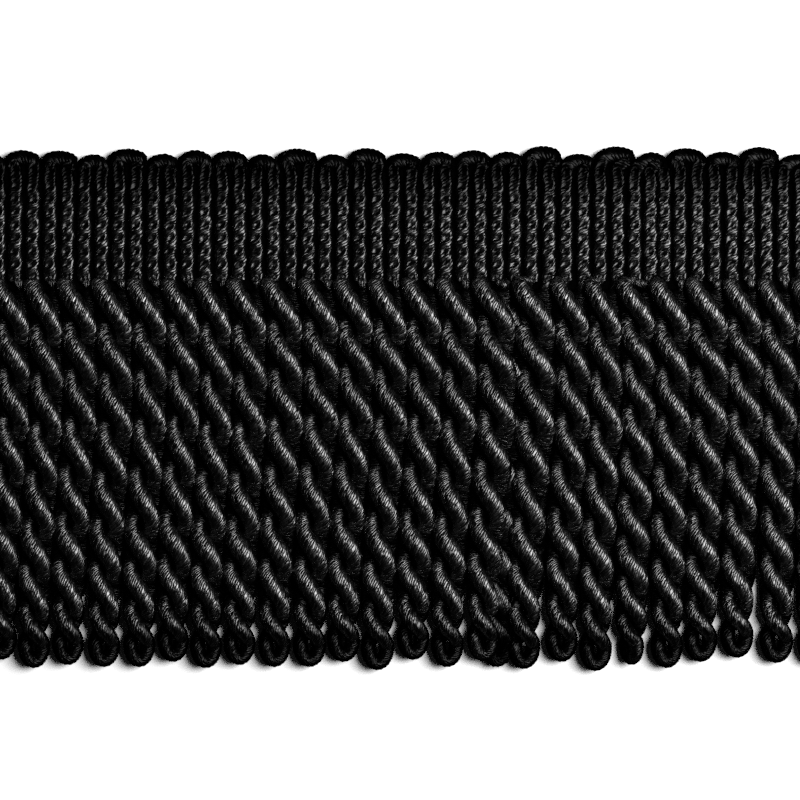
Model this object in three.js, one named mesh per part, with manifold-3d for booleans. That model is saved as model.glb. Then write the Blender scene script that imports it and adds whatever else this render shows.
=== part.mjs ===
// Bullion fringe: a ribbed woven heading with looped top edge, and a skirt of two-ply twisted cords.
// The fringe lies on its back: X runs along the tape, +Y points to the looped edge, +Z is the face.
// Units are millimetres. The origin is under the middle of the whole fringe, on the surface it lies on.

import * as THREE from 'three';
import { mergeVertices } from 'three/addons/utils/BufferGeometryUtils.js';
import Module from 'manifold-3d';

// Driving sizes of the tape
const TAPE_START = -88.7;
const TAPE_END = 88.7;
const HEADING_FOOT = 24.7;
const BINDER_PITCH = 2.57;
const BINDER_ROWS = 10;
const RIB_CREST = 3.5;
const RIB_WAIST = 2.9;
const RIB_VALLEY = 1.7;
const LOOP_SHOULDER = 2.6;
const LOOP_EDGE = 1.3;
const LOOP_SHOULDER_INSET = 1.1;

// Ribs lie in runs of even pitch. The middle run is squeezed where one yarn was joined to the next.
const RIB_RUNS = [
  { ribs: 40, end: 46.1 },
  { ribs: 2, end: 51.6 },
  { ribs: 11, end: TAPE_END },
];

// Loops of the top edge, from the left: where each loop ends, and how high its crest stands.
const VALLEY_HEIGHT = 49.1;
const LOOPS = [
  { end: -85.5, crest: 50.4 },
  { end: -79.2, crest: 50.2 },
  { end: -72.1, crest: 50.7 },
  { end: -64.7, crest: 50.6 },
  { end: -58.8, crest: 49.9 },
  { end: -51.2, crest: 51.0 },
  { end: -44.9, crest: 50.0 },
  { end: -38.6, crest: 50.7 },
  { end: -31.5, crest: 50.6 },
  { end: -25.7, crest: 49.9 },
  { end: -17.8, crest: 51.0 },
  { end: -11.6, crest: 49.9 },
  { end: -4.5, crest: 51.1 },
  { end: 2.7, crest: 50.1 },
  { end: 9.4, crest: 50.4 },
  { end: 16.3, crest: 50.7 },
  { end: 22.7, crest: 50.4 },
  { end: 30.2, crest: 51.5 },
  { end: 37.0, crest: 50.0 },
  { end: 44.9, crest: 51.4 },
  { end: 50.8, crest: 50.3 },
  { end: 58.4, crest: 51.1 },
  { end: 65.3, crest: 50.4 },
  { end: 72.9, crest: 51.3 },
  { end: 80.0, crest: 49.9 },
  { end: 86.4, crest: 50.8 },
  { end: TAPE_END, crest: 50.0 },
];

// Driving sizes of the twisted cords
const PLY_HALF_DEPTH = 1.35;
const PLY_HALF_WIDTH = 2.3;
const ROOT_HALF_WIDTH = 1.5;
const TWIST_RADIUS = 1.65;
const CORD_RADIUS = TWIST_RADIUS + PLY_HALF_DEPTH;
const AXIS_HEIGHT = CORD_RADIUS;
const STEPS_PER_TURN = 5.5;
const FOOT_BEND_STEPS = 4;
const TWIST_TOP = 23.8;
const SWAY_START = 0.3;
const SWAY_END = 0.9;

// The lowest row of the tape, which carries the roots of all cords
const PIECE_GAP = 0.3;
const STRIP_FOOT = 22.3;
const STRIP_TOP = HEADING_FOOT - PIECE_GAP;
const STRIP_THICKNESS = 4.7;

// Twisted cords from the left: centre of the root, sideways lean of the tip, lowest point and turns of twist.
const BULLIONS = [
  { root: -84.4, lean: -1.8, foot: -50.1, turns: 4 },
  { root: -77.8, lean: -2.0, foot: -49.3, turns: 4 },
  { root: -71.1, lean: -2.2, foot: -50.9, turns: 4 },
  { root: -64.8, lean: -2.2, foot: -50.3, turns: 4 },
  { root: -57.7, lean: -1.7, foot: -50.7, turns: 4 },
  { root: -50.8, lean: -1.9, foot: -50.7, turns: 4 },
  { root: -44.4, lean: -1.6, foot: -49.7, turns: 4 },
  { root: -38.0, lean: -1.6, foot: -50.9, turns: 4 },
  { root: -31.6, lean: -1.7, foot: -50.3, turns: 4 },
  { root: -24.5, lean: -1.6, foot: -50.7, turns: 4 },
  { root: -17.4, lean: -1.9, foot: -50.7, turns: 4 },
  { root: -10.6, lean: -2.0, foot: -49.7, turns: 4 },
  { root: -3.9, lean: -2.3, foot: -51.3, turns: 4 },
  { root: 2.7, lean: -1.7, foot: -49.3, turns: 4 },
  { root: 9.5, lean: -1.4, foot: -50.7, turns: 4 },
  { root: 17.4, lean: -1.2, foot: -50.7, turns: 4.35 },
  { root: 25.0, lean: -1.5, foot: -51.1, turns: 4 },
  { root: 31.9, lean: -1.8, foot: -49.7, turns: 4 },
  { root: 38.3, lean: -1.8, foot: -51.5, turns: 4 },
  { root: 44.7, lean: -0.8, foot: -50.3, turns: 4.35 },
  { root: 51.1, lean: -0.3, foot: -50.9, turns: 4 },
  { root: 58.6, lean: -1.3, foot: -49.7, turns: 4 },
  { root: 65.7, lean: -1.8, foot: -48.9, turns: 4 },
  { root: 72.1, lean: 0.6, foot: -49.9, turns: 4 },
  { root: 78.9, lean: 0.6, foot: -50.3, turns: 4 },
  { root: 85.3, lean: 0.9, foot: -49.7, turns: 4 },
];

const headingYarn = new THREE.MeshStandardMaterial({ color: 0x0d0d10, roughness: 0.6, metalness: 0 });
const bullionYarn = new THREE.MeshStandardMaterial({ color: 0x101013, roughness: 0.45, metalness: 0 });

const wasm = await Module();
wasm.setup();

// A geometry of shared vertices from a list of points and a list of triangles.
function geometryOf(points, triangles) {
  const geometry = new THREE.BufferGeometry();
  const places = points.flatMap((point) => point.toArray());
  geometry.setAttribute('position', new THREE.Float32BufferAttribute(places, 3));
  geometry.setIndex(triangles.flat());
  return geometry;
}

// A closed geometry as a solid that can be joined to others.
function solidOf(geometry) {
  const bare = geometry.clone();
  bare.deleteAttribute('normal');
  bare.deleteAttribute('uv');
  const merged = mergeVertices(bare, 1e-4);
  return new wasm.Manifold(
    new wasm.Mesh({
      numProp: 3,
      vertProperties: new Float32Array(merged.attributes.position.array),
      triVerts: new Uint32Array(merged.index.array),
    }),
  );
}

// A joined solid as a geometry again.
function geometryFrom(solid) {
  const mesh = solid.getMesh();
  const geometry = new THREE.BufferGeometry();
  geometry.setAttribute('position', new THREE.BufferAttribute(mesh.vertProperties, 3));
  geometry.setIndex(new THREE.BufferAttribute(mesh.triVerts, 1));
  geometry.computeVertexNormals();
  return geometry;
}

// Heading

// Columns of the face along the tape: a valley at each side of a rib and a crest at its middle.
function ribColumns() {
  const columns = [{ x: TAPE_START, crest: false }];
  let start = TAPE_START;
  for (const run of RIB_RUNS) {
    const pitch = (run.end - start) / run.ribs;
    for (let rib = 0; rib < run.ribs; rib += 1) {
      columns.push({ x: start + (rib + 0.5) * pitch, crest: true });
      columns.push({ x: start + (rib + 1) * pitch, crest: false });
    }
    start = run.end;
  }
  return columns;
}

// Height of the looped top edge at a place along the tape.
function topEdge(x) {
  let start = TAPE_START;
  for (const loop of LOOPS) {
    if (x <= loop.end) {
      const across = (x - start) / (loop.end - start);
      return VALLEY_HEIGHT + (loop.crest - VALLEY_HEIGHT) * Math.sqrt(Math.sin(Math.PI * across));
    }
    start = loop.end;
  }
  return VALLEY_HEIGHT;
}

// Points of one column of the face, from the heading's foot up to its top edge.
function columnPoints(column) {
  const points = [];
  for (let half = 0; half < 2 * BINDER_ROWS - 1; half += 1) {
    const ribHeight = half % 2 === 0 ? RIB_WAIST : RIB_CREST;
    const z = column.crest ? ribHeight : RIB_VALLEY;
    points.push(new THREE.Vector3(column.x, HEADING_FOOT + (half * BINDER_PITCH) / 2, z));
  }
  const top = topEdge(column.x);
  points.push(new THREE.Vector3(column.x, top - LOOP_SHOULDER_INSET, LOOP_SHOULDER));
  points.push(new THREE.Vector3(column.x, top, LOOP_EDGE));
  return points;
}

// The tape as one closed solid: ribbed face, looped edge, plain cut ends and flat back.
function headingGeometry() {
  const columns = ribColumns().map(columnPoints);
  const rows = columns[0].length;
  const last = columns.length - 1;
  const points = columns.flat();
  const face = (column, row) => column * rows + row;
  const onBack = (index) => points.push(points[index].clone().setZ(0)) - 1;
  const backFoot = columns.map((_, column) => onBack(face(column, 0)));
  const backTop = columns.map((_, column) => onBack(face(column, rows - 1)));
  const triangles = [];
  const quad = (a, b, c, d) => triangles.push([a, b, c], [a, c, d]);
  for (let column = 0; column < last; column += 1) {
    const next = column + 1;
    for (let row = 0; row < rows - 1; row += 1) {
      quad(face(column, row), face(next, row), face(next, row + 1), face(column, row + 1));
    }
    quad(backFoot[column], backFoot[next], face(next, 0), face(column, 0));
    quad(face(column, rows - 1), face(next, rows - 1), backTop[next], backTop[column]);
    quad(backFoot[column], backTop[column], backTop[next], backFoot[next]);
  }
  for (let row = 0; row < rows - 1; row += 1) {
    triangles.push([backFoot[0], face(0, row), face(0, row + 1)]);
    triangles.push([backFoot[last], face(last, row + 1), face(last, row)]);
  }
  triangles.push([backFoot[0], face(0, rows - 1), backTop[0]]);
  triangles.push([backFoot[last], backTop[last], face(last, rows - 1)]);
  const geometry = geometryOf(points, triangles);
  geometry.computeVertexNormals();
  return geometry;
}

// Bullion skirt

// Centre line of a cord at a share of its drop: straight under the tape, then leaning to its tip.
function cordAxis(bullion, share) {
  const sway = THREE.MathUtils.smoothstep(share, SWAY_START, SWAY_END);
  const twistFoot = bullion.foot + CORD_RADIUS;
  return new THREE.Vector3(
    bullion.root + bullion.lean * sway,
    THREE.MathUtils.lerp(TWIST_TOP, twistFoot, share),
    AXIS_HEIGHT,
  );
}

// Direction from the cord's axis to a ply at an angle of twist: 0 is left, a quarter turn is the face.
function plyDirection(angle) {
  return new THREE.Vector3(-Math.cos(angle), 0, Math.sin(angle));
}

// Stations of one ply, root to foot: its centre and the direction that points away from the cord's axis.
function plyStations(bullion, startAngle) {
  const steps = Math.round(STEPS_PER_TURN * bullion.turns);
  const stations = [];
  for (let step = 0; step <= steps; step += 1) {
    const share = step / steps;
    const out = plyDirection(startAngle + share * bullion.turns * 2 * Math.PI);
    stations.push({ centre: cordAxis(bullion, share).addScaledVector(out, TWIST_RADIUS), out });
  }
  return stations;
}

// Stations of the round bend at the foot, which turns the first ply back into the second.
function footStations(bullion) {
  const middle = cordAxis(bullion, 1);
  const side = plyDirection(bullion.turns * 2 * Math.PI);
  const down = new THREE.Vector3(0, -1, 0);
  const stations = [];
  for (let step = 1; step < FOOT_BEND_STEPS; step += 1) {
    const angle = (Math.PI * step) / FOOT_BEND_STEPS;
    const out = side.clone().multiplyScalar(Math.cos(angle)).addScaledVector(down, Math.sin(angle));
    stations.push({ centre: middle.clone().addScaledVector(out, TWIST_RADIUS), out });
  }
  return stations;
}

// Corners of the yarn's section, as shares of its depth and width.
const SECTION = [
  { deep: 1, wide: 0 },
  { deep: 0, wide: 1 },
  { deep: -1, wide: 0 },
  { deep: 0, wide: -1 },
];
const SIDES = SECTION.length;

// One cord as a closed four-sided yarn: down one ply, round the foot and up the other.
function bullionGeometry(bullion) {
  const stations = [
    ...plyStations(bullion, 0),
    ...footStations(bullion),
    ...plyStations(bullion, Math.PI).reverse(),
  ];
  const points = [];
  const triangles = [];
  stations.forEach(({ centre, out }, index) => {
    const isRoot = index === 0 || index === stations.length - 1;
    const before = stations[Math.max(index - 1, 0)].centre;
    const after = stations[Math.min(index + 1, stations.length - 1)].centre;
    const along = after.clone().sub(before);
    if (isRoot) along.setX(0).setZ(0);
    const side = new THREE.Vector3().crossVectors(along, out).normalize();
    const radial = new THREE.Vector3().crossVectors(side, along).normalize();
    const halfWidth = isRoot ? ROOT_HALF_WIDTH : PLY_HALF_WIDTH;
    for (const { deep, wide } of SECTION) {
      const corner = centre.clone().addScaledVector(radial, deep * PLY_HALF_DEPTH);
      points.push(corner.addScaledVector(side, wide * halfWidth));
    }
  });
  for (let ring = 0; ring < stations.length - 1; ring += 1) {
    for (let corner = 0; corner < SIDES; corner += 1) {
      const [a, b] = [ring * SIDES + corner, ring * SIDES + ((corner + 1) % SIDES)];
      triangles.push([a, b, b + SIDES], [a, b + SIDES, a + SIDES]);
    }
  }
  const end = (stations.length - 1) * SIDES;
  triangles.push([0, 2, 1], [0, 3, 2], [end, end + 1, end + 2], [end, end + 2, end + 3]);
  return geometryOf(points, triangles);
}

// The narrow strip that the roots are caught in.
function stripGeometry() {
  const strip = new THREE.BoxGeometry(TAPE_END - TAPE_START, STRIP_TOP - STRIP_FOOT, STRIP_THICKNESS);
  return strip.translate((TAPE_START + TAPE_END) / 2, (STRIP_TOP + STRIP_FOOT) / 2, STRIP_THICKNESS / 2);
}

// All cords joined to the strip.
function skirtGeometry() {
  const cords = BULLIONS.map((bullion) => solidOf(bullionGeometry(bullion)));
  return geometryFrom(cords.reduce((skirt, cord) => skirt.add(cord), solidOf(stripGeometry())));
}

// One named piece of the fringe.
function piece(name, geometry, material) {
  const mesh = new THREE.Mesh(geometry, material);
  mesh.name = name;
  return mesh;
}

const fringe = new THREE.Group();
fringe.add(piece('heading', headingGeometry(), headingYarn));
fringe.add(piece('bullion_skirt', skirtGeometry(), bullionYarn));

export default fringe;
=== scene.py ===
"""Black bullion fringe lying on its back, its yarn skinned thread by thread.

Sizes are millimetres in the part's own frame until a mesh is made: X runs along the tape, +Y points to the
looped edge and +Z is the face.
"""

import logging
import math
from dataclasses import dataclass
from enum import Enum

import bpy
import numpy as np
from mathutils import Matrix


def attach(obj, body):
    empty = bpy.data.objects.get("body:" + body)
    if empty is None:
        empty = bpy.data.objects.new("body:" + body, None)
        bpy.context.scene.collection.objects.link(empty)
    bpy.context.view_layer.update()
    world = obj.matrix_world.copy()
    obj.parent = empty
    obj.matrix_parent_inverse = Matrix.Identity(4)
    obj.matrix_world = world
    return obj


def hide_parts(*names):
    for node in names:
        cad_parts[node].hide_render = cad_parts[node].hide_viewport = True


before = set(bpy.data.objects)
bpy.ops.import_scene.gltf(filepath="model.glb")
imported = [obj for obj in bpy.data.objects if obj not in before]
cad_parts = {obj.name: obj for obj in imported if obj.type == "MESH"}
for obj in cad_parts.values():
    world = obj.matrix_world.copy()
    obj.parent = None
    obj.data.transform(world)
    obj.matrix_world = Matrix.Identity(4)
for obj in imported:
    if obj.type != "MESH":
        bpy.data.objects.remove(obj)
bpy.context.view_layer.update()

LOG = logging.getLogger("bullion_fringe")
MM = 0.001
BODY = "root"
SEED = 26

Point = tuple[float, float, float]
Colour = tuple[float, float, float, float]
Sizes = np.ndarray | float


class Node(Enum):
    """The solids that the dressed pieces stand for."""

    HEADING = "heading"
    SKIRT = "bullion_skirt"


class Slot(Enum):
    """The record's material slots."""

    HEADING = "heading_yarn"
    BULLION = "bullion_yarn"


class Side(Enum):
    """The face or the back of the tape, or the ply of a cord that crosses on that side first."""

    FRONT = 1.0
    BACK = -1.0


def grey(shade: float) -> Colour:
    """The colour of a shade from 0 to 1."""
    return shade, shade, shade, 1.0


class Value:
    """A shader value on which Python's operators add Math nodes."""

    def __init__(self, graph: "Graph", socket: bpy.types.NodeSocket) -> None:
        """Wraps one output socket of a graph."""
        self.graph = graph
        self.socket = socket

    def _math(self, operation: str, first: "Value | float", second: "Value | float") -> "Value":
        """Adds one Math node of two values."""
        return self.graph.node("ShaderNodeMath", {"operation": operation}, {0: first, 1: second}, "Value")

    def __add__(self, other: "Value | float") -> "Value":
        """Sum of two values."""
        return self._math("ADD", self, other)

    def __radd__(self, other: float) -> "Value":
        """Sum with a number on the left."""
        return self._math("ADD", other, self)

    def __sub__(self, other: "Value | float") -> "Value":
        """Difference of two values."""
        return self._math("SUBTRACT", self, other)

    def __rsub__(self, other: float) -> "Value":
        """Difference with a number on the left."""
        return self._math("SUBTRACT", other, self)

    def __mul__(self, other: "Value | float") -> "Value":
        """Product of two values."""
        return self._math("MULTIPLY", self, other)

    def __rmul__(self, other: float) -> "Value":
        """Product with a number on the left."""
        return self._math("MULTIPLY", other, self)


class Graph:
    """The node tree of one new material."""

    # Sockets of a Mix node that mixes colours, by number because its other kinds share their names
    MIX_FIRST = 6
    MIX_SECOND = 7
    MIX_RESULT = 2

    def __init__(self, name: str) -> None:
        """Starts an empty material.

        Args:
            name: The material's name.
        """
        self.material = bpy.data.materials.new(name)
        self.material.use_nodes = True
        self.tree = self.material.node_tree
        self.tree.nodes.clear()

    def node(self, kind: str, settings: dict, sockets: dict, output: str | int) -> Value:
        """Adds a node.

        Args:
            kind: The node's type.
            settings: Attributes that are set before its sockets.
            sockets: Values, numbers, colours or links, by socket name or number.
            output: The output that is wanted, by name or number.

        Returns:
            That output.
        """
        made = self.tree.nodes.new(kind)
        for key, setting in settings.items():
            setattr(made, key, setting)
        for key, value in sockets.items():
            if isinstance(value, Value):
                self.tree.links.new(value.socket, made.inputs[key])
            else:
                made.inputs[key].default_value = value
        return Value(self, made.outputs[output])

    def axis(self, vector: Value, name: str) -> Value:
        """One coordinate of a vector."""
        return self.node("ShaderNodeSeparateXYZ", {}, {"Vector": vector}, name)

    def function(self, operation: str, value: Value) -> Value:
        """The result of a Math node that takes one value."""
        return self.node("ShaderNodeMath", {"operation": operation}, {0: value}, "Value")

    def scaled(self, vector: Value, scale: Point) -> Value:
        """A vector scaled along each axis."""
        return self.node("ShaderNodeVectorMath", {"operation": "MULTIPLY"}, {0: vector, 1: scale}, "Vector")

    def noise(self, vector: Value, roughness: float) -> Value:
        """Noise on a plane, with lumps about one unit of the vector wide."""
        sockets = {"Vector": vector, "Scale": 1.0, "Detail": 1.0, "Roughness": roughness}
        return self.node("ShaderNodeTexNoise", {"noise_dimensions": "2D"}, sockets, "Fac")

    def eased(self, place: Value, start: float, end: float, first: float, last: float) -> Value:
        """Turns a place into a smooth step between two numbers.

        Args:
            place: The place, in metres.
            start: Where the step starts, in millimetres.
            end: Where it ends, in millimetres.
            first: The number before the start.
            last: The number beyond the end.

        Returns:
            The stepped value.
        """
        sockets = {"Value": place, "From Min": start * MM, "From Max": end * MM}
        sockets |= {"To Min": first, "To Max": last}
        return self.node("ShaderNodeMapRange", {"interpolation_type": "SMOOTHSTEP"}, sockets, "Result")

    def mixed(self, share: Value, first: Colour, second: Colour) -> Value:
        """A mix of two colours."""
        sockets = {"Factor": share, self.MIX_FIRST: first, self.MIX_SECOND: second}
        return self.node("ShaderNodeMix", {"data_type": "RGBA"}, sockets, self.MIX_RESULT)

    def dressed(self, sockets: dict) -> bpy.types.Material:
        """Ends the material in a Principled shader.

        Args:
            sockets: The shader's values, by socket name.

        Returns:
            The material.
        """
        shader = self.node("ShaderNodeBsdfPrincipled", {}, sockets, "BSDF")
        end = self.tree.nodes.new("ShaderNodeOutputMaterial")
        self.tree.links.new(shader.socket, end.inputs["Surface"])
        return self.material


@dataclass(frozen=True)
class RayonFinish:
    """Glossy black rayon thread, read on the wrap map: thread number across, millimetres round the yarn.

    Set as metallic with a black edge tint, it stays black at its rims while its crests shine. The sheen
    darkens along Y between two places, at the looped edge of the tape and at the feet of the cords. Near
    a middle level it is darkened as painted shade, where little light reaches between the plies; a sheen
    of 1 there paints no shade. Painted shade also darkens it in the dents of the yarn.
    """

    name: str
    sheen: float
    # Along Y the sheen darkens between two places, down to a share of itself
    darken_from: float
    darken_to: float
    darkened_sheen: float
    # Painted shade near a middle level: the sheen is lowest at the first distance from it and whole at the
    # second
    middle: float = 0.0
    depth_shade_from: float = 0.0
    depth_shade_to: float = 1.0
    depth_shade_sheen: float = 1.0
    sheen_spread: float = 1.6
    roughness: float = 0.31
    roughness_spread: float = 0.3
    # Each thread's round back, how that differs from thread to thread, and how far threads stray
    thread_relief: float = 0.36
    thread_spread: float = 0.2
    thread_arc: float = 0.58
    waver: float = 0.7
    waver_scale: Point = (0.55, 0.5, 1.0)
    # The step between two threads in the noise that sets them apart, and its pace along a thread
    swell_step: float = 7.3
    swell_run: float = 0.7
    soft_noise: float = 0.5
    # The filaments of a thread, finer than its ridge
    filaments: float = 3.0
    filament_run: float = 0.12
    filament_relief: float = 0.012
    filament_noise: float = 0.6

    def material(self) -> bpy.types.Material:
        """Makes the material.

        Returns:
            A material whose threads differ a little in tone, with fine filaments raised along each.
        """
        graph = Graph(self.name)
        wrap = graph.node("ShaderNodeUVMap", {"uv_map": Skin.WRAP_MAP}, {}, "UV")
        stray = graph.noise(graph.scaled(wrap, self.waver_scale), self.soft_noise)
        number = graph.axis(wrap, "X") + stray * (2.0 * self.waver)
        beside = (graph.function("FRACT", number) * 2.0 - 1.0) * self.thread_arc
        round_back = graph.function("SQRT", 1.0 - beside * beside)
        fine = graph.scaled(wrap, (self.filaments, self.filament_run, 1.0))
        filament = graph.noise(fine, self.filament_noise)
        thread = graph.function("FLOOR", number) * self.swell_step
        along = graph.axis(wrap, "Y") * self.swell_run
        lane = graph.node("ShaderNodeCombineXYZ", {}, {"X": thread, "Y": along}, "Vector")
        swell = graph.noise(lane, self.soft_noise) - 0.5

        place = graph.node("ShaderNodeTexCoord", {}, {}, "Object")
        # The sheen darkens along Y between two places
        darkened = graph.eased(graph.axis(place, "Y"), self.darken_from, self.darken_to, 1.0, self.darkened_sheen)
        # Painted shade: the sheen darkens near the middle level, where little light reaches between the
        # plies
        outward = graph.function("ABSOLUTE", graph.axis(place, "Z") - self.middle * MM)
        depth_shade = graph.eased(outward, self.depth_shade_from, self.depth_shade_to, self.depth_shade_sheen, 1.0)
        # Painted shade in the yarn's dents, read on a map of its own
        press = graph.node("ShaderNodeUVMap", {"uv_map": Skin.DENT_SHADE_MAP}, {}, "UV")
        uneven = (1.0 + self.sheen_spread * swell) * (2.0 * filament)
        # The sheen, with its random tone and the painted shade
        sheen_and_shade = uneven * darkened * depth_shade * (1.0 - graph.axis(press, "X")) * self.sheen

        relief = self.thread_relief + self.thread_spread * swell
        height = round_back * relief + filament * self.filament_relief
        bump = {"Strength": 1.0, "Distance": MM, "Height": height}
        sockets = {
            "Base Color": graph.mixed(sheen_and_shade, grey(0.0), grey(1.0)),
            "Roughness": self.roughness + self.roughness_spread * swell,
            "Normal": graph.node("ShaderNodeBump", {}, bump, "Normal"),
            "Metallic": 1.0,
            "Specular Tint": grey(0.0),
        }
        return graph.dressed(sockets)


@dataclass(frozen=True)
class WebFinish:
    """Black ground threads of the tape, seen only between the ribs and made near lightless there as painted
    shade.
    """

    name: str = "ground_threads"
    # Near nought shade and gloss: painted shade for the gaps between the ribs
    shade: float = 0.0003
    shade_spread: float = 0.5
    pitch: float = 0.5
    distortion: float = 0.4
    relief: float = 0.1
    relief_strength: float = 0.6
    roughness: float = 0.95
    gloss: float = 0.01

    # A wave texture of scale 1 repeats at this distance
    WAVE_PITCH = math.pi / 10.0

    def material(self) -> bpy.types.Material:
        """Makes the material.

        Returns:
            A dark cloth with a fine cross weave on the part's own coordinates.
        """
        graph = Graph(self.name)
        place = graph.node("ShaderNodeTexCoord", {}, {}, "Object")
        scale = self.WAVE_PITCH / (self.pitch * MM)
        waves = {"Vector": place, "Scale": scale, "Distortion": self.distortion}
        warp, weft = (
            graph.node("ShaderNodeTexWave", {"bands_direction": axis, "wave_profile": "SIN"}, waves, "Fac")
            for axis in ("X", "Y")
        )
        weave = warp * 0.5 + weft * 0.5
        bump = {"Strength": self.relief_strength, "Distance": self.relief * MM, "Height": weave}
        spreads = (-self.shade_spread, self.shade_spread)
        dark, pale = (grey(self.shade * (1.0 + spread)) for spread in spreads)
        sockets = {
            "Base Color": graph.mixed(weave, dark, pale),
            "Roughness": self.roughness,
            "Normal": graph.node("ShaderNodeBump", {}, bump, "Normal"),
            "Specular IOR Level": self.gloss,
        }
        return graph.dressed(sockets)


@dataclass(frozen=True)
class FloorFinish:
    """Plain white studio paper."""

    name: str = "studio_paper"
    shade: float = 0.9
    roughness: float = 0.9
    gloss: float = 0.1

    def material(self) -> bpy.types.Material:
        """Makes the material.

        Returns:
            A matt white surface.
        """
        graph = Graph(self.name)
        sockets = {
            "Base Color": grey(self.shade),
            "Roughness": self.roughness,
            "Specular IOR Level": self.gloss,
        }
        return graph.dressed(sockets)


@dataclass
class Skin:
    """Triangles of one or more yarns, with the wrap map and the share of painted shade in dents at each
    corner.
    """

    points: np.ndarray
    triangles: np.ndarray
    wrap: np.ndarray

    WRAP_MAP = "wrap"
    # The map that carries the painted shade in dents
    DENT_SHADE_MAP = "press"

    @classmethod
    def joined(cls, skins: "list[Skin]") -> "Skin":
        """Joins skins into one.

        Args:
            skins: The skins, in order.

        Returns:
            One skin that holds them all.
        """
        starts = np.cumsum([0] + [len(skin.points) for skin in skins[:-1]])
        return cls(
            np.concatenate([skin.points for skin in skins]),
            np.concatenate([skin.triangles + start for skin, start in zip(skins, starts)]),
            np.concatenate([skin.wrap for skin in skins]),
        )

    def piece(self, name: str, material: bpy.types.Material, node: Node, slot: Slot) -> bpy.types.Object:
        """Makes the skin a piece of the part.

        Args:
            name: The piece's name.
            material: Its finish.
            node: The solid that it stands for.
            slot: The record's slot of its finish. Not used.

        Returns:
            The new object, which rides on the part's body.
        """
        mesh = bpy.data.meshes.new(name)
        count = len(self.triangles)
        mesh.vertices.add(len(self.points))
        mesh.vertices.foreach_set("co", (self.points * MM).astype(np.float32).ravel())
        mesh.loops.add(3 * count)
        mesh.loops.foreach_set("vertex_index", self.triangles.astype(np.int32).ravel())
        mesh.polygons.add(count)
        mesh.polygons.foreach_set("loop_start", np.arange(0, 3 * count, 3, dtype=np.int32))
        flat = self.wrap.reshape(-1, 3).astype(np.float32)
        # The second map carries the share of painted shade in the dents
        dent_shaded = np.column_stack([flat[:, 2], np.zeros(len(flat), np.float32)])
        for layer, chart in ((self.WRAP_MAP, flat[:, :2]), (self.DENT_SHADE_MAP, dent_shaded)):
            mesh.uv_layers.new(name=layer)
            mesh.uv_layers[layer].uv.foreach_set("vector", np.ascontiguousarray(chart).ravel())
        mesh.update(calc_edges=True)
        mesh.shade_smooth()
        mesh.materials.append(material)
        piece = bpy.data.objects.new(name, mesh)
        bpy.context.scene.collection.objects.link(piece)
        return adopt(piece, node)


def adopt(piece: bpy.types.Object, node: Node) -> bpy.types.Object:
    """Makes an object a piece of the part.

    Args:
        piece: The finished object.
        node: The solid that it stands for.

    Returns:
        The same object.
    """
    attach(piece, BODY)
    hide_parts(node.value)
    triangles = sum(len(face.vertices) - 2 for face in piece.data.polygons)
    LOG.info("%s: %d triangles", piece.name, triangles)
    return piece


def ease(share: Sizes) -> Sizes:
    """Smooth step from 0 to 1, level at both ends."""
    share = np.clip(share, 0.0, 1.0)
    return share * share * (3.0 - 2.0 * share)


def blend(first: Sizes, second: Sizes, share: Sizes) -> Sizes:
    """A value that goes from the first to the second as the share goes from 0 to 1."""
    return first + (second - first) * share


def unit(vectors: np.ndarray) -> np.ndarray:
    """The same directions, each of length 1."""
    return vectors / np.linalg.norm(vectors, axis=1, keepdims=True)


def gone_along(points: np.ndarray) -> np.ndarray:
    """Length of a line up to each of its points."""
    return np.concatenate([[0.0], np.cumsum(np.linalg.norm(np.diff(points, axis=0), axis=1))])


def halved(quads: np.ndarray) -> np.ndarray:
    """Triangles from four-cornered faces, or from what is kept at their corners."""
    return np.concatenate([quads[:, [0, 1, 2]], quads[:, [0, 2, 3]]])


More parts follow.
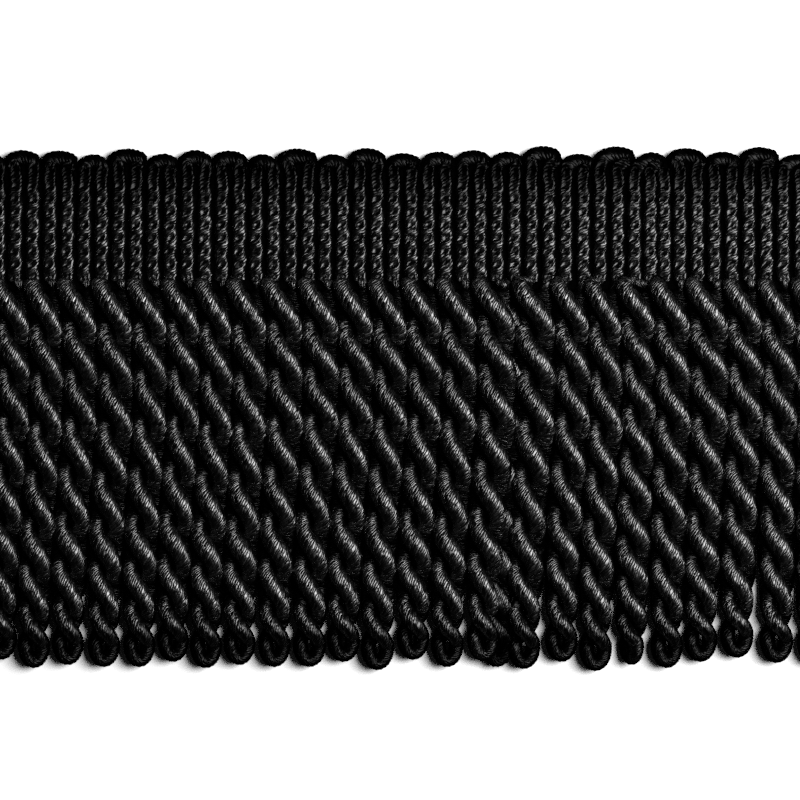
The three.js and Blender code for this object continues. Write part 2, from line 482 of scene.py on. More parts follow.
@dataclass
class Route:
    """The middle line of a length of yarn and its section at each point.

    A roundness of 1 gives an oval section, and less gives a squarer one. The dent is the depth of a hollow
    along the middle of its face and of its back.
    """

    points: np.ndarray
    half_width: np.ndarray
    half_depth: np.ndarray
    roundness: np.ndarray
    dent: np.ndarray

    # Spacing of the points of a chained route, and the fewest that it has
    STEP = 0.12
    FEWEST = 4

    @classmethod
    def of(cls, points: np.ndarray, half_width: Sizes, half_depth: Sizes,
           roundness: Sizes = 1.0, dent: Sizes = 0.0) -> "Route":
        """Makes a route, with the section given at each point or once for all of them.

        Args:
            points: The middle line.
            half_width: Half the section's width.
            half_depth: Half its depth.
            roundness: 1 for an oval section, less for a squarer one.
            dent: Depth of the hollow along its face and its back.

        Returns:
            The route.
        """
        section = (half_width, half_depth, roundness, dent)
        return cls(points, *(np.broadcast_to(size, len(points)) for size in section))

    def table(self) -> np.ndarray:
        """The route as rows of X, Y, Z and the section's four sizes."""
        return np.column_stack([self.points, self.half_width, self.half_depth, self.roundness, self.dent])

    def reversed(self) -> "Route":
        """The same route from its other end."""
        rows = self.table()[::-1]
        return Route(rows[:, :3], *rows.T[3:])

    @classmethod
    def chain(cls, routes: "list[Route]", softness: float) -> "Route":
        """Joins routes end to end, spaces them evenly and rounds their corners.

        Args:
            routes: The stretches, in order.
            softness: Length over which a corner is rounded.

        Returns:
            One even route.
        """
        rows = np.concatenate([route.table() for route in routes])
        gone = gone_along(rows[:, :3])
        even = np.linspace(0.0, gone[-1], max(cls.FEWEST, int(gone[-1] / cls.STEP)))
        rows = np.column_stack([np.interp(even, gone, column) for column in rows.T])
        reach = max(1, int(softness / cls.STEP))
        # The window's two ends are nought and drop out
        weights = np.hanning(2 * reach + 3)[1:-1]
        weights /= weights.sum()
        first = 2 * rows[:1] - rows[reach:0:-1]
        last = 2 * rows[-1:] - rows[-2:-reach - 2:-1]
        padded = np.concatenate([first, rows, last])
        rows = np.column_stack([np.convolve(column, weights, "valid") for column in padded.T])
        return cls(rows[:, :3], *rows.T[3:])

    def read(self, values: np.ndarray, place: np.ndarray) -> np.ndarray:
        """Reads values that belong to the route's points at other places along it.

        Args:
            values: A number or a vector for each point of the route.
            place: Distances from the start of the route.

        Returns:
            The number or the vector at each of those places.
        """
        gone = gone_along(self.points)
        if values.ndim == 1:
            return np.interp(place, gone, values)
        return np.stack([np.interp(place, gone, column) for column in values.T], axis=-1)


@dataclass(frozen=True)
class WrappedYarn:
    """A soft core wrapped side by side with fine thread, whose rows of points follow the threads."""

    thread_pitch: float = 0.46
    threads: int = 14
    sides: int = 16
    ridge: float = 0.06
    ridge_spread: float = 0.5
    rows_per_thread: int = 2
    dent_reach: float = 0.5
    # How far a dent sinks before its painted shade is full
    full_shade_dent: float = 0.8
    end_margin: float = 0.2

    @property
    def spacing(self) -> float:
        """Distance along the yarn from one row of points to the next."""
        return self.thread_pitch / self.rows_per_thread

    @property
    def turn_rows(self) -> int:
        """Rows that lie side by side in one turn of the threads round the yarn."""
        return self.threads * self.rows_per_thread

    def skin(self, route: Route, random: np.random.Generator) -> Skin:
        """Wraps a length of yarn.

        Args:
            route: The yarn's middle line and sizes. The section's depth stands up in Z.
            random: Source of the threads' unevenness.

        Returns:
            A closed skin with one raised ridge for each thread.
        """
        length = gone_along(route.points)[-1]
        rows = np.arange(-self.turn_rows, int(math.ceil(length / self.spacing)) + 2)
        ring = np.arange(self.sides + 1)
        place = self.spacing * (rows[:, None] + self.turn_rows * ring[None, :] / self.sides)
        margin = self.end_margin * self.spacing
        inside = (place > margin) & (place < length - margin)
        place = np.clip(place, 0.0, length)
        uneven = 1.0 + self.ridge_spread * random.uniform(-1.0, 1.0, place.shape)
        crest = np.where(rows[:, None] % self.rows_per_thread == 0, 1.0, -1.0)
        points, dent_shaded = self.section(route, place, self.ridge * crest * uneven * inside)

        # The last column lies where the first one does, a turn further on. Points before the start fall
        # together on the first ring, and those past the end on the last one.
        points, place, inside = points[:, :-1], place[:, :-1], inside[:, :-1]
        columns = ring[:-1]
        number = np.where(place < 0.5 * length, 0, self.sides) + columns
        number[inside] = 2 * self.sides + np.arange(int(inside.sum()))
        early = np.argmin(np.abs(place), axis=0)
        late = len(rows) - 1 - np.argmin(np.abs(place - length)[::-1], axis=0)
        ends = [points[early, columns], points[late, columns]]
        all_points = np.concatenate([*ends, points[inside], route.points[:1], route.points[-1:]])

        girth = 2.0 * np.pi * np.mean(route.half_width) / self.sides
        triangles, wrap = self.faces(rows, number, dent_shaded, girth)
        caps = self.caps(len(all_points) - 2)
        return Skin(all_points, np.concatenate([triangles, caps]),
                    np.concatenate([wrap, np.zeros((len(caps), 3, 3))]))

    def section(self, route: Route, place: np.ndarray, proud: np.ndarray) -> tuple[np.ndarray, np.ndarray]:
        """Sets points round the yarn.

        Args:
            route: The yarn's middle line and sizes.
            place: Each point's distance along the yarn, by row and by side.
            proud: How far each point stands out from the section.

        Returns:
            The points, and the share of painted shade in the dent at each, from 0 to 1.
        """
        tangent = unit(np.gradient(route.points, axis=0))
        up = unit(np.array([0.0, 0.0, 1.0]) - tangent * tangent[:, 2:3])
        across = np.cross(tangent, up)
        angle = 2.0 * np.pi * np.arange(self.sides + 1) / self.sides
        power = route.read(route.roundness, place)
        reach = (np.cos(angle), np.sin(angle))
        upright, sideways = (np.sign(share) * np.abs(share) ** power for share in reach)
        dent = route.read(route.dent, place) * np.exp(-((sideways / self.dent_reach) ** 2))
        depth = (route.read(route.half_depth, place) + proud) * upright - dent * np.sign(upright)
        width = (route.read(route.half_width, place) + proud) * sideways
        points = (route.read(route.points, place) + route.read(up, place) * depth[..., None]
                  + route.read(across, place) * width[..., None])
        # The share of painted shade grows with the dent's depth
        return points, np.clip(dent / self.full_shade_dent, 0.0, 1.0)

    def faces(self, rows: np.ndarray, number: np.ndarray, dent_shaded: np.ndarray,
              girth: float) -> tuple[np.ndarray, np.ndarray]:
        """Joins the rows of points into triangles.

        Args:
            rows: The rows' own numbers.
            number: The number of the point at each side of each row.
            dent_shaded: The share of painted shade in the yarn's dent there, and once more at the first
                side.
            girth: Width of one side of the yarn.

        Returns:
            The triangles, and the wrap map and the share of painted shade in dents at each of their corners.
        """
        columns = np.arange(self.sides)
        low = np.arange(len(rows) - 1)
        beyond = np.full((self.turn_rows, 1), self.sides)
        number = np.hstack([number, np.vstack([number[self.turn_rows:, :1], beyond])])
        quads = []
        charts = []
        for row, column in ((low, columns), (low, columns + 1), (low + 1, columns + 1), (low + 1, columns)):
            quads.append(number[row][:, column])
            thread = rows[row][:, None] / self.rows_per_thread + 0.5
            chart = np.broadcast_arrays(thread, column * girth, dent_shaded[row][:, column])
            charts.append(np.stack(chart, axis=-1))
        triangles = halved(np.stack(quads, axis=-1).reshape(-1, 4))
        wrap = halved(np.stack(charts, axis=2).reshape(-1, 4, 3))
        # Beyond the ends corners fall together, and such faces drop out
        whole = np.all(triangles != np.roll(triangles, 1, axis=1), axis=1)
        return triangles[whole], wrap[whole]

    def caps(self, hub: int) -> np.ndarray:
        """Closes the yarn's two ends.

        Args:
            hub: Number of the point in the middle of the first end. That of the last end comes next.

        Returns:
            A fan of triangles for each end.
        """
        side = np.arange(self.sides)
        after = (side + 1) % self.sides
        first = np.stack([np.full(self.sides, hub), after, side], axis=1)
        last = np.stack([np.full(self.sides, hub + 1), side + self.sides, after + self.sides], axis=1)
        return np.concatenate([first, last])


@dataclass(frozen=True)
class RibRow:
    """Where the upright ribs of the tape stand: runs of so many ribs, each with its end along the tape."""

    start: float = -88.7
    runs: tuple[tuple[int, float], ...] = ((40, 46.1), (2, 51.6), (11, 88.7))

    @property
    def end(self) -> float:
        """Where the last run ends."""
        return self.runs[-1][1]

    def centres(self) -> list[float]:
        """Works out the middle of each rib, from the left.

        Returns:
            One place along the tape for each rib.
        """
        found = []
        left = self.start
        for ribs, end in self.runs:
            pitch = (end - left) / ribs
            found += [left + pitch * (rib + 0.5) for rib in range(ribs)]
            left = end
        return found


@dataclass
class Heading:
    """The tape: upright ribs of yarn, looped over at the top and held by rows of fine binding thread."""

    ribs: RibRow
    foot: float = 25.0
    rib_top: float = 47.2
    half_width: float = 1.36
    half_depth: float = 1.5
    roundness: float = 0.62
    rib_steps: int = 200
    softness: float = 0.4
    height_at_foot: float = 3.0
    height_at_top: float = 1.8
    # How far a rib wanders aside, how fast up the tape, and how far out of step with the next rib
    wander: float = 0.14
    wander_turn: float = 1.2
    wander_shift: float = 5.0
    # Rows of binding thread, how they squeeze and dent the ribs, and where the ribs start to be hollow
    # The dents and hollows of the ribs carry painted shade
    rows: int = 9
    first_row: float = 25.6
    row_pitch: float = 2.56
    pinch_run: float = 0.5
    pinch_width: float = 0.05
    pinch_depth: float = 0.12
    dent_depth: float = 0.8
    hollow_from: float = 40.0
    # The binding thread, and how far it rises at a rib's edge, shoulder, crest and other shoulder
    binder_half_width: float = 0.4
    binder_half_depth: float = 0.2
    binder_sides: int = 6
    binder_steps: int = 2
    binder_shoulder: float = 0.85
    binder_rise: tuple[float, ...] = (0.0, 0.35, 0.62, 0.35)
    web_top: float = 48.2
    web_foot: float = 23.4
    web_thickness: float = 0.3
    web_cells: tuple[int, int] = (4, 24)
    loop_half_width: float = 1.65
    loop_half_depth: float = 1.25
    loop_rise: float = 0.7
    loop_reach: float = 0.4
    loop_sag: float = 0.3
    loop_steps: int = 60
    stump_tip: float = 0.08
    stump_steps: int = 24
    # The rib that ends without a loop
    lone_rib: int = 41
    # Where each loop of the top edge ends, and how high its crest stands, from the left
    loops: tuple[tuple[float, float], ...] = (
        (-85.5, 50.4), (-79.2, 50.2), (-72.1, 50.7), (-64.7, 50.6), (-58.8, 49.9), (-51.2, 51.0),
        (-44.9, 50.0), (-38.6, 50.7), (-31.5, 50.6), (-25.7, 49.9), (-17.8, 51.0), (-11.6, 49.9),
        (-4.5, 51.1), (2.7, 50.1), (9.4, 50.4), (16.3, 50.7), (22.7, 50.4), (30.2, 51.5),
        (37.0, 50.0), (44.9, 51.4), (50.8, 50.3), (58.4, 51.1), (65.3, 50.4), (72.9, 51.3),
        (80.0, 49.9), (86.4, 50.8), (88.7, 50.0),
    )
    yarn: WrappedYarn = WrappedYarn(thread_pitch=0.76, threads=8, sides=20, ridge=0.1)
    # The sheen darkens towards the looped edge
    finish: RayonFinish = RayonFinish(
        name="heading_rayon", sheen=0.042, darken_from=36.0, darken_to=47.0, darkened_sheen=0.13)
    ground: WebFinish = WebFinish()

    def height(self, y: Sizes) -> Sizes:
        """Height of the tape's middle layer above the surface, at a place up the tape."""
        share = ease((np.asarray(y) - self.foot) / (self.web_top - self.foot))
        return blend(self.height_at_foot, self.height_at_top, share)

    def pinch(self, y: np.ndarray) -> np.ndarray:
        """Works out how hard the binding rows squeeze a rib.

        Args:
            y: Places up the tape.

        Returns:
            The squeeze at each place, from 0 to 1.
        """
        row = np.clip(np.round((y - self.first_row) / self.row_pitch), 0, self.rows - 1)
        away = (y - self.first_row - row * self.row_pitch) / self.pinch_run
        return np.exp(-away * away)

    def hollow(self, y: np.ndarray) -> np.ndarray:
        """How hollow the face of a rib is towards the looped edge, from 0 to 1."""
        return ease((y - self.hollow_from) / (self.rib_top - self.hollow_from))

    def rib_route(self, x: float) -> Route:
        """The route of one rib, upwards.

        Args:
            x: Its place along the tape.

        Returns:
            A nearly straight route, pinched at each binding row.
        """
        y = np.linspace(self.foot, self.rib_top, self.rib_steps)
        aside = self.wander * np.sin(self.wander_turn * y + self.wander_shift * x)
        points = np.column_stack([x + aside, y, self.height(y)])
        squeeze = self.pinch(y)
        return Route.of(points, self.half_width - self.pinch_width * squeeze,
                        self.half_depth - self.pinch_depth * squeeze, self.roundness,
                        self.dent_depth * np.maximum(squeeze, self.hollow(y)))

    def loop_route(self, left: float, right: float, crest: float) -> Route:
        """The turn of the yarn over the top edge.

        Args:
            left: Where the loop starts along the tape.
            right: Where it ends.
            crest: Its highest point up the tape.

        Returns:
            A low arch from the left rib to the right one.
        """
        across = np.linspace(-1.0, 1.0, self.loop_steps)
        half = 0.5 * (right - left) - self.loop_half_width + self.loop_reach
        x = 0.5 * (left + right) + half * across
        y = crest - self.loop_half_width - self.loop_rise * across ** 2
        z = self.height(y) - self.loop_sag * (1.0 - across ** 2)
        return Route.of(np.column_stack([x, y, z]), self.loop_half_width, self.loop_half_depth)

    def stump_route(self, x: float, crest: float) -> Route:
        """The closed top of a rib at the cut end of the tape.

        Args:
            x: The rib's place along the tape.
            crest: Its highest point up the tape.

        Returns:
            A short route that rounds off.
        """
        turn = np.linspace(0.0, 0.5 * np.pi, self.stump_steps)
        y = self.rib_top + (crest - self.rib_top) * np.sin(turn)
        size = np.maximum(np.cos(turn), self.stump_tip)
        points = np.column_stack([np.full_like(y, x), y, self.height(y)])
        return Route.of(points, self.half_width * size, self.half_depth * size)

    def yarn_routes(self) -> list[Route]:
        """Works out the routes of all ribs, two by two over their loops.

        Returns:
            The routes, from the left, and that of the lone rib.
        """
        centres = self.ribs.centres()
        live = [centre for rib, centre in enumerate(centres) if rib != self.lone_rib]
        pairs = [live[:1]] + [live[rib:rib + 2] for rib in range(1, len(live) - 1, 2)] + [live[-1:]]
        lefts = [self.ribs.start] + [end for end, _ in self.loops[:-1]]
        stretches = []
        for pair, left, (right, crest) in zip(pairs, lefts, self.loops):
            if len(pair) == 1:
                stretches.append([self.rib_route(pair[0]), self.stump_route(pair[0], crest)])
                continue
            up, down = (self.rib_route(centre) for centre in pair)
            stretches.append([up, self.loop_route(left, right, crest), down.reversed()])
        stretches.append([self.rib_route(centres[self.lone_rib])])
        return [Route.chain(stretch, self.softness) for stretch in stretches]

    def binder_routes(self, side: Side) -> list[Route]:
        """Works out the fine threads that cross the ribs.

        Args:
            side: The side of the tape that they lie on.

        Returns:
            One wavy route for each row.
        """
        centres = np.array(self.ribs.centres())
        edges = np.concatenate([[self.ribs.start], 0.5 * (centres[1:] + centres[:-1]), [self.ribs.end]])
        shoulder = self.binder_shoulder
        over = np.column_stack([edges[:-1], centres - shoulder, centres, centres + shoulder])
        x = np.append(over.ravel(), edges[-1])
        rise = np.append(np.tile(self.binder_rise, len(centres)), self.binder_rise[0])
        spans = len(x) - 1
        fine = np.linspace(0.0, spans, self.binder_steps * spans + 1)
        low = np.minimum(fine.astype(int), spans - 1)
        line_x = np.interp(fine, np.arange(len(x)), x)
        line_z = side.value * blend(rise[low], rise[low + 1], ease(fine - low))
        routes = []
        for row in range(self.rows):
            y = self.first_row + row * self.row_pitch
            points = np.column_stack([line_x, np.full_like(line_x, y), self.height(y) + line_z])
            routes.append(Route.of(points, self.binder_half_width, self.binder_half_depth))
        return routes

    def binder_skin(self, route: Route) -> Skin:
        """Skins a binding thread, which runs along X.

        Args:
            route: Its middle line and half sizes.

        Returns:
            A closed smooth tube.
        """
        sides = self.binder_sides
        count = len(route.points)
        angle = 2.0 * np.pi * np.arange(sides) / sides
        rings = np.repeat(route.points[:, None, :], sides, axis=1)
        up = np.cross(unit(np.gradient(route.points, axis=0)), np.array([0.0, 1.0, 0.0]))
        rings += up[:, None, :] * (route.half_depth[:, None] * np.cos(angle))[..., None]
        rings[..., 1] += route.half_width[:, None] * np.sin(angle)
        index = np.arange(count * sides).reshape(count, sides)
        index = np.hstack([index, index[:, :1]])
        quads = np.stack([index[:-1, :-1], index[:-1, 1:], index[1:, 1:], index[1:, :-1]], axis=-1)
        fan = np.arange(1, sides - 1)
        last = (count - 1) * sides
        triangles = np.concatenate([
            halved(quads.reshape(-1, 4)),
            np.stack([np.zeros_like(fan), fan + 1, fan], axis=1),
            np.stack([np.full_like(fan, last), last + fan, last + fan + 1], axis=1),
        ])
        flat = rings.reshape(-1, 3)
        run = flat[triangles][..., 0]
        wrap = np.stack([angle[triangles % sides], run, np.zeros_like(run)], axis=-1)
        return Skin(flat, triangles, wrap)

    def ground_web(self, finish: bpy.types.Material) -> bpy.types.Object:
        """Models the thin ground of the tape that shows between the ribs.

        Args:
            finish: Its material.

        Returns:
            The piece.
        """
        width = (self.ribs.end - self.ribs.start) * MM
        height = (self.web_top - self.web_foot) * MM
        along, upward = self.web_cells
        bpy.ops.object.select_all(action="DESELECT")
        bpy.ops.mesh.primitive_grid_add(
            x_subdivisions=along, y_subdivisions=upward, size=1.0, location=(0.0, 0.0, 0.0))
        web = bpy.context.object
        web.name = web.data.name = "ground_web"
        bpy.ops.object.mode_set(mode="EDIT")
        bpy.ops.mesh.select_all(action="SELECT")
        bpy.ops.transform.resize(value=(width, height, 1.0))
        bpy.ops.transform.translate(value=(0.0, 0.5 * (self.web_top + self.web_foot) * MM, 0.0))
        bpy.ops.object.mode_set(mode="OBJECT")
        for vertex in web.data.vertices:
            vertex.co.z = float(self.height(vertex.co.y / MM)) * MM
        thick = web.modifiers.new("thickness", "SOLIDIFY")
        thick.thickness = self.web_thickness * MM
        thick.offset = 0.0
        bpy.ops.object.modifier_apply(modifier=thick.name)
        web.data.materials.append(finish)
        return adopt(web, Node.HEADING)

    def build(self, random: np.random.Generator) -> None:
        """Builds and dresses the ribs, the binding threads and the ground of the tape.

        Args:
            random: Source of the yarn's unevenness.
        """
        rayon = self.finish.material()
        skins = [self.yarn.skin(route, random) for route in self.yarn_routes()]
        ribs = Skin.joined(skins).piece("rib_yarn", rayon, Node.HEADING, Slot.HEADING)
        # The binding rows and the ground share the near-lightless finish, painted shade for the gaps between
        # the ribs
        shaded_ground = self.ground.material()
        plain = [self.binder_skin(route) for side in Side for route in self.binder_routes(side)]
        binders = Skin.joined(plain).piece("binding_rows", shaded_ground, Node.HEADING, Slot.HEADING)
        web = self.ground_web(shaded_ground)


@dataclass(frozen=True)
class Bullion:
    """One twisted cord: a length of yarn folded back on itself, with a round loop at its foot.

    The lift raises it, the flatness squeezes its depth, and early is how far its twist runs ahead half way
    down, in radians.
    """

    root: float
    lean: float
    foot: float
    turns: float
    front_rib: float
    back_rib: float
    room_at_root: float
    room_at_foot: float
    lift: float = 0.0
    flatness: float = 1.0
    early: float = 0.0


@dataclass
class Skirt:
    """The row of twisted cords that hangs from the tape.

    The front ply of a cord starts on its left. Sizes named from, at and run are shares of a cord's length.
    The roots rise towards the tape.
    """

    ribs: RibRow
    heading: Heading
    twist_top: float = 24.2
    turns: float = 4.0
    most_room: float = 3.7
    most_room_at_foot: float = 3.2
    clearance: float = 0.12
    ply_steps: int = 700
    softness: float = 0.5
    # How far the plies swing sideways and in depth, and how late the depth follows
    swing_share: float = 0.60
    depth_swing: float = 1.04
    tilt: float = 0.3
    settle_run: float = 0.12
    # The section of a ply beside the axis, crossing in front and crossing behind
    side_share: float = 0.51
    side_half_depth: float = 2.1
    side_roundness: float = 0.65
    front_half_width: float = 2.0
    front_half_depth: float = 1.65
    back_fill: float = 1.16
    back_half_depth: float = 1.45
    roundness: float = 0.9
    # The foot of a cord slims, and its back crossing loosens
    slim_from: float = 0.78
    slim_run: float = 0.1
    slim_share: float = 0.12
    loose_from: float = 0.86
    loose_run: float = 0.06
    loose_back_half_width: float = 2.5
    # The twist slackens down the cord, and cords differ a little in twist and in swell
    slack: float = 0.29
    slack_steps: int = 400
    uneven_turn: float = 0.3
    uneven_room: float = 0.04
    uneven_waves: float = 9.0
    uneven_shift: float = 20.0
    # A cord bows aside and leans towards its foot
    bow: float = 0.4
    bow_at: float = 0.3
    bow_run: float = 0.16
    lean_from: float = 0.3
    lean_run: float = 0.6
    # Where the plies leave the tape
    root_run: float = 0.07
    root_swing: float = 0.2
    front_root_rise: float = 0.3
    back_root_rise: float = 0.2
    start_run: float = 0.035
    start_half_width: float = 2.0
    tail_half_width: float = 1.0
    neck_length: float = 1.2
    neck_slimmer: float = 0.15
    neck_flatter: float = 0.3
    # The open loop at the foot
    eye_from: float = 0.9
    eye_height: float = 4.5
    eye_half_depth: float = 1.45
    eye_gap: float = 0.3
    eye_level: float = 2.9
    most_ring: float = 3.4
    bend_margin: float = 0.1
    bend_steps: int = 40
    bend_softness: float = 0.6
    # Cords in one piece
    rank: int = 6
    # Cords from the left: centre of the root, sideways lean of the tip, lowest point
    cords: tuple[Point, ...] = (
        (-84.4, -1.8, -50.1), (-77.8, -2.0, -49.3), (-71.1, -2.2, -50.9), (-64.8, -2.2, -50.3),
        (-57.7, -1.7, -50.7), (-50.8, -1.9, -50.7), (-44.4, -1.6, -49.7), (-38.0, -1.6, -50.9),
        (-31.6, -1.7, -50.3), (-24.5, -1.6, -50.7), (-17.4, -1.9, -50.7), (-10.6, -2.0, -49.7),
        (-3.9, -2.3, -51.3), (2.7, -1.7, -49.3), (9.5, -1.4, -50.7), (16.5, -2.9, -49.5),
        (25.0, -1.5, -51.1), (31.9, -1.8, -49.7), (38.3, -1.8, -51.5), (44.7, -0.8, -50.3),
        (51.1, -0.3, -50.9), (58.6, -1.3, -49.7), (65.7, -1.8, -48.9), (72.1, 0.6, -49.9),
        (78.9, 0.6, -50.3), (85.3, 0.9, -49.7),
    )
    # Ribs that feed the front and the back ply where the even count is broken: cord, front rib, back rib
    joins: tuple[tuple[int, int, int], ...] = (
        (15, 30, 31), (16, 33, 34), (17, 35, 36), (18, 37, 38), (19, 39, 39), (20, 40, 42))
    # One cord is twisted harder than the rest
    hard_cord: int = 19
    hard_turns: float = 4.35
    # One cord is tucked under its neighbour, which rides on it
    riding_cord: int = 15
    riding_lift: float = 0.5
    tucked: Bullion = Bullion(
        root=19.2, lean=-1.8, foot=-50.7, turns=4.0, front_rib=17.4, back_rib=20.85, room_at_root=3.2,
        room_at_foot=3.2, lift=1.3, flatness=0.5, early=-1.0)
    yarn: WrappedYarn = WrappedYarn()
    # The sheen darkens towards the feet, and painted shade darkens it near the middle level between the
    # plies
    finish: RayonFinish = RayonFinish(
        name="bullion_rayon", sheen=0.0585, darken_from=-38.0, darken_to=-45.5, darkened_sheen=0.25, middle=3.4,
        depth_shade_from=0.3, depth_shade_to=1.5, depth_shade_sheen=0.12)

    def bullions(self, random: np.random.Generator) -> list[Bullion]:
        """Works out which ribs feed each cord and how much room it has.

        Args:
            random: Source of the cords' uneven twist.

        Returns:
            The cords, from the left, and the tucked one.
        """
        centres = self.ribs.centres()
        broken = {cord: (front, back) for cord, front, back in self.joins}
        roots = [root for root, _, _ in self.cords]
        tips = [root + lean for root, lean, _ in self.cords]
        found = []
        for cord, (_, _, foot) in enumerate(self.cords):
            even = 2 * cord + int(cord > max(broken))
            front, back = broken.get(cord, (even, even + 1))
            root, room_at_root = self.room(roots, cord, self.most_room)
            tip, room_at_foot = self.room(tips, cord, self.most_room_at_foot)
            found.append(Bullion(
                root=root,
                lean=tip - root,
                foot=foot,
                turns=self.hard_turns if cord == self.hard_cord else self.turns,
                front_rib=centres[front],
                back_rib=centres[back],
                room_at_root=room_at_root,
                room_at_foot=room_at_foot,
                lift=self.riding_lift if cord == self.riding_cord else 0.0,
                early=self.uneven_turn * random.uniform(-1.0, 1.0),
            ))
        return found + [self.tucked]

    def room(self, line: list[float], cord: int, most: float) -> tuple[float, float]:
        """Settles a cord in the space between its neighbours.

        Args:
            line: The places of all cords at one height.
            cord: The cord's number.
            most: The most that it fills.

        Returns:
            The middle of its space, and half the width that it fills.
        """
        place = line[cord]
        left = 0.5 * (place + line[cord - 1]) if cord else place - self.most_room
        right = 0.5 * (place + line[cord + 1]) if cord + 1 < len(line) else place + self.most_room
        return 0.5 * (left + right), min(most, 0.5 * (right - left))

    def leaning(self, share: np.ndarray) -> np.ndarray:
        """How far a cord has passed over from its place at the root to that at the foot, from 0 to 1."""
        return ease((share - self.lean_from) / self.lean_run)

    def sway(self, lean: float, share: np.ndarray) -> np.ndarray:
        """Sideways course of a cord's axis at a share of its length."""
        return lean * self.leaning(share) + self.bow * np.exp(-((share - self.bow_at) / self.bow_run) ** 2)

    def slim(self, share: np.ndarray) -> np.ndarray:
        """How slim a cord is at a share of its length, next to its full width."""
        return 1.0 - self.slim_share * ease((share - self.slim_from) / self.slim_run)

    def filled(self, cord: Bullion, share: np.ndarray) -> np.ndarray:
        """Half the width that a cord fills at a share of its length."""
        return self.slim(share) * blend(cord.room_at_root, cord.room_at_foot, self.leaning(share))

    def in_eye(self, share: np.ndarray) -> np.ndarray:
        """How far a ply has passed over into the foot loop, from 0 to 1."""
        return ease((share - self.eye_from) / (1.0 - self.eye_from))

    def twist(self, cord: Bullion, share: np.ndarray) -> np.ndarray:
        """Works out how far a cord has twisted: it slackens on the way down, then tightens at the foot.

        Args:
            cord: The cord.
            share: Shares of its length.

        Returns:
            The angle that its plies have turned through.
        """
        done = np.linspace(0.0, 1.0, self.slack_steps)
        turned = np.interp(share, done + self.slack * done ** 2 * (1.0 - done), done)
        return 2.0 * np.pi * cord.turns * turned + cord.early * np.sin(np.pi * share)

    def ring(self, cord: Bullion) -> tuple[float, float]:
        """Radius of a cord's foot loop to the middle of its yarn, and half the yarn's width there."""
        outer = min(self.most_ring, cord.room_at_foot)
        return 0.5 * (outer + self.eye_gap), 0.5 * (outer - self.eye_gap)

    def ply_section(self, cord: Bullion, side: Side, share: np.ndarray) -> tuple[Sizes, Sizes, Sizes]:
        """Works out the section of one ply of a cord.

        Args:
            cord: The cord.
            side: The ply.
            share: Shares of the cord's length.

        Returns:
            Half the section's width, half its depth, and its roundness.
        """
        room = self.filled(cord, share)
        angle = self.twist(cord, share)
        in_eye = self.in_eye(share)
        beside = np.cos(angle) ** 2
        front = side.value * np.sin(angle) > 0.0
        loose = ease((share - self.loose_from) / self.loose_run)
        back_width = blend(self.back_fill * room, self.loose_back_half_width, loose)
        crossing_width = np.where(front, self.slim(share) * self.front_half_width, back_width)
        crossing_depth = np.where(front, self.front_half_depth, self.back_half_depth)
        width = self.side_share * room * beside + crossing_width * (1.0 - beside)
        depth = cord.flatness * (self.side_half_depth * beside + crossing_depth * (1.0 - beside))
        at_start = 1.0 - ease(share / self.start_run)
        if side is Side.FRONT:
            width = blend(width, self.start_half_width, at_start)
        else:
            width = blend(width, self.tail_half_width, at_start)
            depth = blend(depth, self.tail_half_width, at_start)
        width = blend(width, self.ring(cord)[1], in_eye)
        depth = blend(depth, cord.flatness * self.eye_half_depth, in_eye)
        return width, depth, blend(self.roundness, self.side_roundness, beside * (1.0 - in_eye))

    def ply_route(self, cord: Bullion, side: Side) -> Route:
        """One ply of a cord, from its rib down to the foot loop.

        Args:
            cord: The cord.
            side: The ply.

        Returns:
            A helix round the cord's axis, which starts at the foot of the rib.
        """
        share = np.linspace(0.0, 1.0, self.ply_steps)
        room = self.filled(cord, share)
        angle = self.twist(cord, share)
        in_eye = self.in_eye(share)
        settled = ease(share / self.settle_run)
        at_root = 1.0 - ease(share / self.root_run)
        width, depth, roundness = self.ply_section(cord, side, share)

        radius = blend(self.swing_share * room, self.ring(cord)[0], in_eye)
        swing = radius * (1.0 + self.root_swing * at_root)
        waves = np.sin(self.uneven_waves * share + self.uneven_shift * cord.early)
        swing = swing * (1.0 + self.uneven_room * waves)
        sweep = self.depth_swing * radius * np.sin(angle - self.tilt * settled * (1.0 - in_eye))
        rise, rib = self.back_root_rise, cord.back_rib
        if side is Side.FRONT:
            rise, rib = self.front_root_rise, cord.front_rib
        x = cord.root + self.sway(cord.lean, share) - side.value * swing * np.cos(angle)
        y = blend(self.twist_top, cord.foot + self.eye_height, share)
        z = cord.flatness * (room + side.value * sweep) + cord.lift * settled + rise * at_root
        z = z - cord.flatness * (room - self.eye_level) * in_eye
        z = np.maximum(z, depth + self.clearance)
        helix = Route.of(np.column_stack([x, y, z]), width, depth, roundness)
        return Route.chain([self.neck_route(rib), helix], self.softness)

    def neck_route(self, rib: float) -> Route:
        """The yarn's way out of the tape, inside the foot of its rib.

        Args:
            rib: The rib's place along the tape.

        Returns:
            A short straight route, downwards.
        """
        tape = self.heading
        level = float(tape.height(tape.foot))
        points = np.array([[rib, tape.foot + self.neck_length, level], [rib, tape.foot, level]])
        return Route.of(points, tape.half_width - self.neck_slimmer, tape.half_depth - self.neck_flatter)

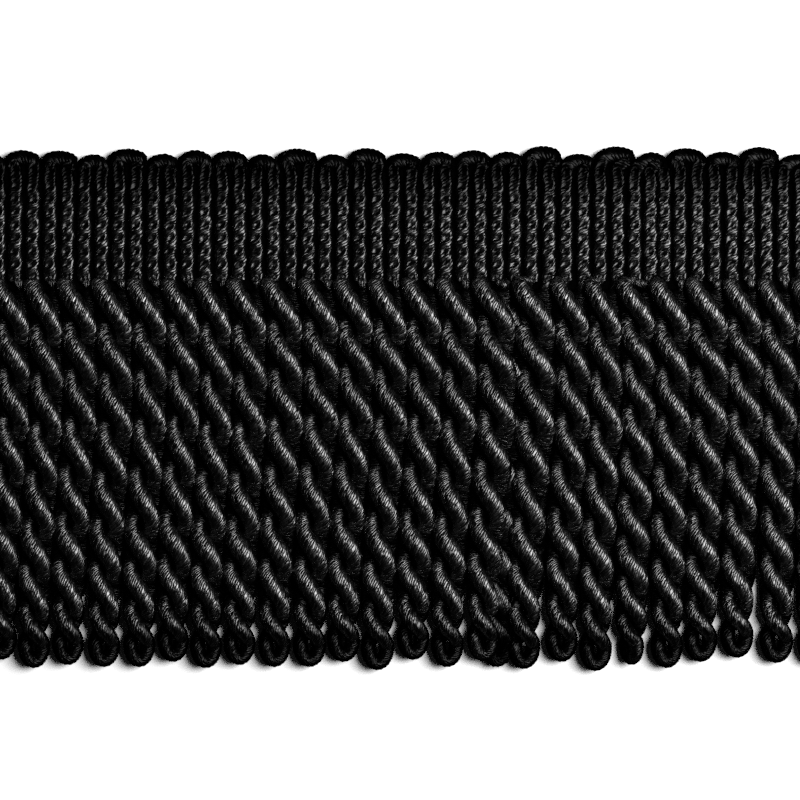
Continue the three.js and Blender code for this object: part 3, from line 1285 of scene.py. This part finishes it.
    def route(self, cord: Bullion) -> Route:
        """The whole yarn of a cord: down one ply, round the foot and up the other.

        Args:
            cord: The cord.

        Returns:
            Its route.
        """
        down = self.ply_route(cord, Side.FRONT)
        up = self.ply_route(cord, Side.BACK)
        turn = np.linspace(self.bend_margin, np.pi - self.bend_margin, self.bend_steps)
        middle = 0.5 * (down.points[-1] + up.points[-1])
        arm = 0.5 * (down.points[-1] - up.points[-1])
        half_width = self.ring(cord)[1]
        drop = np.array([0.0, half_width - self.eye_height, 0.0])
        points = middle + np.outer(np.cos(turn), arm) + np.outer(np.sin(turn), drop)
        bend = Route.of(points, half_width, cord.flatness * self.eye_half_depth)
        return Route.chain([down, bend, up.reversed()], self.bend_softness)

    def build(self, random: np.random.Generator) -> None:
        """Builds and dresses the cords, a few to a piece.

        Args:
            random: Source of the yarn's unevenness.
        """
        rayon = self.finish.material()
        cords = self.bullions(random)
        for number, first in enumerate(range(0, len(cords), self.rank)):
            skins = [self.yarn.skin(self.route(cord), random) for cord in cords[first:first + self.rank]]
            Skin.joined(skins).piece(f"bullions_{number + 1}", rayon, Node.SKIRT, Slot.BULLION)


@dataclass(frozen=True)
class Studio:
    """White paper, one soft light from the right, and a camera that looks straight down."""

    aim: Point = (-1.57, 1.67, 3.0)
    frame_width: float = 156.8
    lens: float = 200.0
    sensor: float = 36.0
    sight: float = 10000.0
    floor_size: float = 3000.0
    floor: FloorFinish = FloorFinish()
    key_place: Point = (455.0, 120.0, 710.0)
    key_size: tuple[float, float] = (400.0, 560.0)
    key_power: float = 13.6
    sky: float = 0.010

    def build(self) -> None:
        """Lays the floor, dims the room, hangs the light and sets the camera."""
        bpy.context.scene.view_settings.view_transform = "Standard"
        # The denoiser takes the fine marks of the threads for noise
        bpy.context.scene.cycles.use_denoising = False
        self.lay_floor()
        self.dim_room()
        self.hang_key()
        self.set_camera()

    def lay_floor(self) -> None:
        """Lays the white paper."""
        bpy.ops.object.select_all(action="DESELECT")
        bpy.ops.mesh.primitive_plane_add(size=self.floor_size * MM, location=(0.0, 0.0, 0.0))
        floor = bpy.context.object
        floor.name = floor.data.name = "floor"
        floor.data.materials.append(self.floor.material())

    def dim_room(self) -> None:
        """Gives the room a faint even light."""
        world = bpy.data.worlds.new("studio_dark")
        world.use_nodes = True
        background = world.node_tree.nodes["Background"]
        background.inputs["Color"].default_value = grey(1.0)
        background.inputs["Strength"].default_value = self.sky
        bpy.context.scene.world = world

    def hang_key(self) -> None:
        """Hangs an oblong softbox that faces the fringe."""
        data = bpy.data.lights.new("key", "AREA")
        data.shape = "RECTANGLE"
        data.size, data.size_y = (edge * MM for edge in self.key_size)
        data.energy = self.key_power
        lamp = bpy.data.objects.new("key", data)
        lamp.location = [value * MM for value in self.key_place]
        lamp.rotation_euler = (-lamp.location).to_track_quat("-Z", "Y").to_euler()
        bpy.context.scene.collection.objects.link(lamp)

    def set_camera(self) -> None:
        """Sets the camera straight above the fringe."""
        data = bpy.data.cameras.new("camera")
        data.lens = self.lens
        data.sensor_width = self.sensor
        data.clip_end = self.sight * MM
        camera = bpy.data.objects.new("camera", data)
        away = self.frame_width / self.sensor * self.lens
        camera.location = [value * MM for value in (self.aim[0], self.aim[1], self.aim[2] + away)]
        bpy.context.scene.collection.objects.link(camera)
        bpy.context.scene.camera = camera
        LOG.info("camera %.0f mm above the fringe", away)


def main() -> None:
    """Builds the fringe piece by piece and logs the triangles of each piece."""
    logging.basicConfig(level=logging.INFO, format="%(name)s: %(message)s")
    random = np.random.default_rng(SEED)
    ribs = RibRow()
    heading = Heading(ribs)
    heading.build(random)
    Skirt(ribs, heading).build(random)
    Studio().build()


if __name__ == "__main__":
    main()
